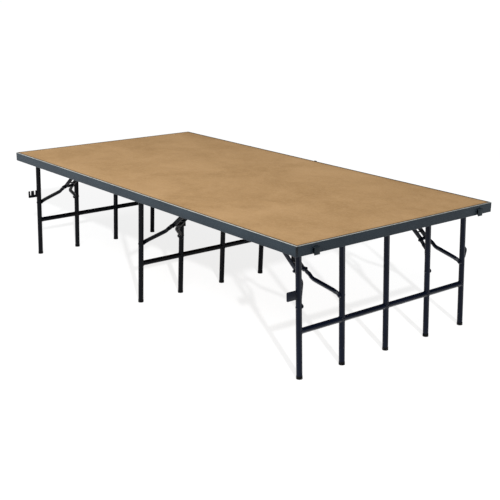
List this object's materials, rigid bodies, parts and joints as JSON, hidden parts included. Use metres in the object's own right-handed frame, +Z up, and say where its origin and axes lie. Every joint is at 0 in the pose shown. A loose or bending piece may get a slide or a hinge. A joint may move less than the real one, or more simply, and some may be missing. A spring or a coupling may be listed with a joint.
{
  "type": "folding stage riser platform",
  "caption": "Folding stage riser platform: hardboard deck in a steel edge frame on fold-down tubular leg frames with wishbone braces.",
  "frame": {"origin": "on the floor under the middle of the overall footprint, hooks and clip included", "axes": "+X along the deck to the near end, +Y across it to the back long side, +Z up"},
  "size_m": [2.4488, 1.2282, 0.6116],
  "materials": {
    "deck_top": "tempered hardboard, smooth matt, faint mottle",
    "deck_core": "raw plywood",
    "edge_paint": "slate blue powder coat, satin",
    "leg_paint": "blue-black powder coat, satin",
    "foot_plastic": "black moulded plastic"
  },
  "bodies": {
    "deck": {"deck_board": "deck_top", "deck_core": "deck_core", "rail_front": "edge_paint", "rail_near": "edge_paint", "rail_back": "edge_paint", "rail_far": "edge_paint", "end_hook_front": "edge_paint", "end_hook_back": "edge_paint", "edge_clip_back": "edge_paint", "hinge_beam_far": "edge_paint", "brace_bracket_far_front": "edge_paint", "brace_bracket_far_back": "edge_paint", "hinge_beam_mid": "edge_paint", "brace_bracket_mid_front": "edge_paint", "brace_bracket_mid_back": "edge_paint", "hinge_beam_near": "edge_paint", "brace_bracket_near_front": "edge_paint", "brace_bracket_near_back": "edge_paint"},
    "far_legs": {"leg_frame_far": "leg_paint", "foot_far_1": "foot_plastic", "foot_far_2": "foot_plastic", "foot_far_3": "foot_plastic", "foot_far_4": "foot_plastic", "foot_far_5": "foot_plastic", "gang_plate_far": "leg_paint", "gang_keeper_far": "leg_paint"},
    "far_front_arms": {"brace_arm_far_front_a": "leg_paint", "brace_arm_far_front_b": "leg_paint"},
    "far_front_link": {"brace_link_far_front": "leg_paint"},
    "far_back_arms": {"brace_arm_far_back_a": "leg_paint", "brace_arm_far_back_b": "leg_paint"},
    "far_back_link": {"brace_link_far_back": "leg_paint"},
    "mid_legs": {"leg_frame_mid": "leg_paint", "foot_mid_1": "foot_plastic", "foot_mid_2": "foot_plastic", "foot_mid_3": "foot_plastic", "foot_mid_4": "foot_plastic", "foot_mid_5": "foot_plastic"},
    "mid_front_arms": {"brace_arm_mid_front_a": "leg_paint", "brace_arm_mid_front_b": "leg_paint"},
    "mid_front_link": {"brace_link_mid_front": "leg_paint"},
    "mid_back_arms": {"brace_arm_mid_back_a": "leg_paint", "brace_arm_mid_back_b": "leg_paint"},
    "mid_back_link": {"brace_link_mid_back": "leg_paint"},
    "near_legs": {"leg_frame_near": "leg_paint", "foot_near_1": "foot_plastic", "foot_near_2": "foot_plastic", "foot_near_3": "foot_plastic", "foot_near_4": "foot_plastic", "foot_near_5": "foot_plastic", "gang_plate_near": "leg_paint", "gang_keeper_near": "leg_paint"},
    "near_front_arms": {"brace_arm_near_front_a": "leg_paint", "brace_arm_near_front_b": "leg_paint"},
    "near_front_link": {"brace_link_near_front": "leg_paint"},
    "near_back_arms": {"brace_arm_near_back_a": "leg_paint", "brace_arm_near_back_b": "leg_paint"},
    "near_back_link": {"brace_link_near_back": "leg_paint"}
  },
  "joints": [
    {"name": "far_leg_fold", "type": "hinge", "parent": "deck", "child": "far_legs", "pos_m": [-1.13555, -0.0045, 0.55626], "axis": [0, -1, 0], "range_deg": [0, 92.58]},
    {"name": "far_front_arm_pivot", "type": "hinge", "parent": "far_legs", "child": "far_front_arms", "pos_m": [-1.14644, -0.40137, 0.31496], "axis": [0, -1, 0], "range_deg": [-1, 58.7]},
    {"name": "far_front_link_pivot", "type": "hinge", "parent": "deck", "child": "far_front_link", "pos_m": [-0.82313, -0.40137, 0.56642], "axis": [0, -1, 0], "range_deg": [-30.71, 1]},
    {"name": "far_back_arm_pivot", "type": "hinge", "parent": "far_legs", "child": "far_back_arms", "pos_m": [-1.14644, 0.39237, 0.31496], "axis": [0, -1, 0], "range_deg": [-1, 58.7]},
    {"name": "far_back_link_pivot", "type": "hinge", "parent": "deck", "child": "far_back_link", "pos_m": [-0.82313, 0.39237, 0.56642], "axis": [0, -1, 0], "range_deg": [-30.71, 1]},
    {"name": "mid_leg_fold", "type": "hinge", "parent": "deck", "child": "mid_legs", "pos_m": [-0.04335, -0.0045, 0.55626], "axis": [0, -1, 0], "range_deg": [0, 92.58]},
    {"name": "mid_front_arm_pivot", "type": "hinge", "parent": "mid_legs", "child": "mid_front_arms", "pos_m": [-0.05424, -0.40137, 0.31496], "axis": [0, -1, 0], "range_deg": [-1, 58.7]},
    {"name": "mid_front_link_pivot", "type": "hinge", "parent": "deck", "child": "mid_front_link", "pos_m": [0.26907, -0.40137, 0.56642], "axis": [0, -1, 0], "range_deg": [-30.71, 1]},
    {"name": "mid_back_arm_pivot", "type": "hinge", "parent": "mid_legs", "child": "mid_back_arms", "pos_m": [-0.05424, 0.39237, 0.31496], "axis": [0, -1, 0], "range_deg": [-1, 58.7]},
    {"name": "mid_back_link_pivot", "type": "hinge", "parent": "deck", "child": "mid_back_link", "pos_m": [0.26907, 0.39237, 0.56642], "axis": [0, -1, 0], "range_deg": [-30.71, 1]},
    {"name": "near_leg_fold", "type": "hinge", "parent": "deck", "child": "near_legs", "pos_m": [1.12505, -0.0045, 0.55626], "axis": [0, 1, 0], "range_deg": [0, 92.58]},
    {"name": "near_front_arm_pivot", "type": "hinge", "parent": "near_legs", "child": "near_front_arms", "pos_m": [1.13594, -0.40137, 0.31496], "axis": [0, 1, 0], "range_deg": [-1, 58.7]},
    {"name": "near_front_link_pivot", "type": "hinge", "parent": "deck", "child": "near_front_link", "pos_m": [0.81263, -0.40137, 0.56642], "axis": [0, 1, 0], "range_deg": [-30.71, 1]},
    {"name": "near_back_arm_pivot", "type": "hinge", "parent": "near_legs", "child": "near_back_arms", "pos_m": [1.13594, 0.39237, 0.31496], "axis": [0, 1, 0], "range_deg": [-1, 58.7]},
    {"name": "near_back_link_pivot", "type": "hinge", "parent": "deck", "child": "near_back_link", "pos_m": [0.81263, 0.39237, 0.56642], "axis": [0, 1, 0], "range_deg": [-30.71, 1]}
  ],
  "couplings": [
    {"joint": "far_front_arm_pivot", "follows": "far_leg_fold", "ratio": 0.62317},
    {"joint": "far_front_link_pivot", "follows": "far_leg_fold", "ratio": -0.32095},
    {"joint": "far_back_arm_pivot", "follows": "far_leg_fold", "ratio": 0.62317},
    {"joint": "far_back_link_pivot", "follows": "far_leg_fold", "ratio": -0.32095},
    {"joint": "mid_front_arm_pivot", "follows": "mid_leg_fold", "ratio": 0.62317},
    {"joint": "mid_front_link_pivot", "follows": "mid_leg_fold", "ratio": -0.32095},
    {"joint": "mid_back_arm_pivot", "follows": "mid_leg_fold", "ratio": 0.62317},
    {"joint": "mid_back_link_pivot", "follows": "mid_leg_fold", "ratio": -0.32095},
    {"joint": "near_front_arm_pivot", "follows": "near_leg_fold", "ratio": 0.62317},
    {"joint": "near_front_link_pivot", "follows": "near_leg_fold", "ratio": -0.32095},
    {"joint": "near_back_arm_pivot", "follows": "near_leg_fold", "ratio": 0.62317},
    {"joint": "near_back_link_pivot", "follows": "near_leg_fold", "ratio": -0.32095}
  ]
}
